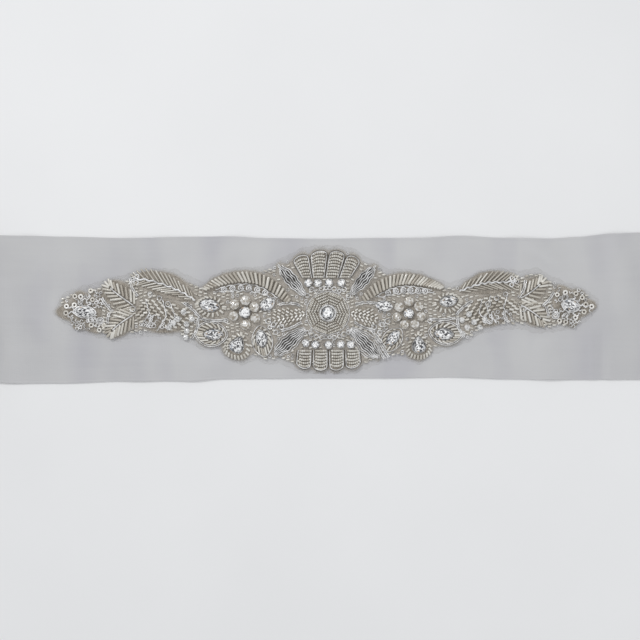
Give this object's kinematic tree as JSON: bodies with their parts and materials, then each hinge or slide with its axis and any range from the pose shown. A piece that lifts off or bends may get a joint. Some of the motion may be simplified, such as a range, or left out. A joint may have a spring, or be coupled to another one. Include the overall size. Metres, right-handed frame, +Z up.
{
  "type": "bridal sash",
  "caption": "Flat satin ribbon sash with a raised beaded applique of leaves, flowers and cut stones in the middle and plain ends folded back and forth.",
  "frame": {"origin": "on the surface that the sash rests on, under the middle of its length and width", "axes": "+X along the sash, +Y across it, +Z up, out of the beaded face"},
  "size_m": [0.7708, 0.102, 0.0192],
  "materials": {
    "satin_ribbon": "satin",
    "beige_net": "matte",
    "silver_lined_beads": "gloss",
    "silver_cord": "satin",
    "clear_bead": "gloss",
    "cut_crystal": "gloss"
  },
  "bodies": {
    "root": {"ribbon_front": "satin_ribbon", "ribbon_left_tie": "satin_ribbon", "ribbon_right_tie": "satin_ribbon", "applique_net": "beige_net", "centre_disc": "silver_lined_beads", "top_fan": "silver_lined_beads", "bottom_fan": "silver_lined_beads", "spray_upper_left": "silver_cord", "spray_upper_right": "silver_cord", "spray_lower_left": "silver_cord", "spray_lower_right": "silver_cord", "arc_wing_left": "silver_lined_beads", "arc_wing_right": "silver_lined_beads", "chevron_left": "silver_lined_beads", "chevron_right": "silver_lined_beads", "feather_leaf_left": "silver_lined_beads", "feather_leaf_right": "silver_lined_beads", "outer_leaf_upper_left": "silver_lined_beads", "outer_leaf_lower_left": "silver_lined_beads", "outer_leaf_upper_right": "silver_lined_beads", "outer_leaf_lower_right": "silver_lined_beads", "mid_field_left": "silver_lined_beads", "mid_field_right": "silver_lined_beads", "stone_leaf_2_left": "silver_lined_beads", "stone_leaf_3_left": "silver_lined_beads", "stone_leaf_4_left": "silver_lined_beads", "stone_leaf_5_left": "silver_lined_beads", "stone_leaf_2_right": "silver_lined_beads", "stone_leaf_3_right": "silver_lined_beads", "stone_leaf_4_right": "silver_lined_beads", "stone_leaf_5_right": "silver_lined_beads", "end_spray_left": "silver_lined_beads", "end_spray_right": "silver_lined_beads", "flower_left": "clear_bead", "flower_right": "clear_bead", "stone_centre": "cut_crystal", "stone_top_1": "cut_crystal", "stone_top_2": "cut_crystal", "stone_top_3": "cut_crystal", "stone_top_4": "cut_crystal", "stone_bottom_1": "cut_crystal", "stone_bottom_2": "cut_crystal", "stone_bottom_3": "cut_crystal", "stone_bottom_4": "cut_crystal", "stone_bottom_5": "cut_crystal", "stone_flower_left": "cut_crystal", "stone_flower_right": "cut_crystal", "stone_left_1": "cut_crystal", "stone_left_2": "cut_crystal", "stone_left_3": "cut_crystal", "stone_left_4": "cut_crystal", "stone_left_5": "cut_crystal", "stone_left_6": "cut_crystal", "stone_right_1": "cut_crystal", "stone_right_2": "cut_crystal", "stone_right_3": "cut_crystal", "stone_right_4": "cut_crystal", "stone_right_5": "cut_crystal", "stone_right_6": "cut_crystal"}
  },
  "joints": []
}
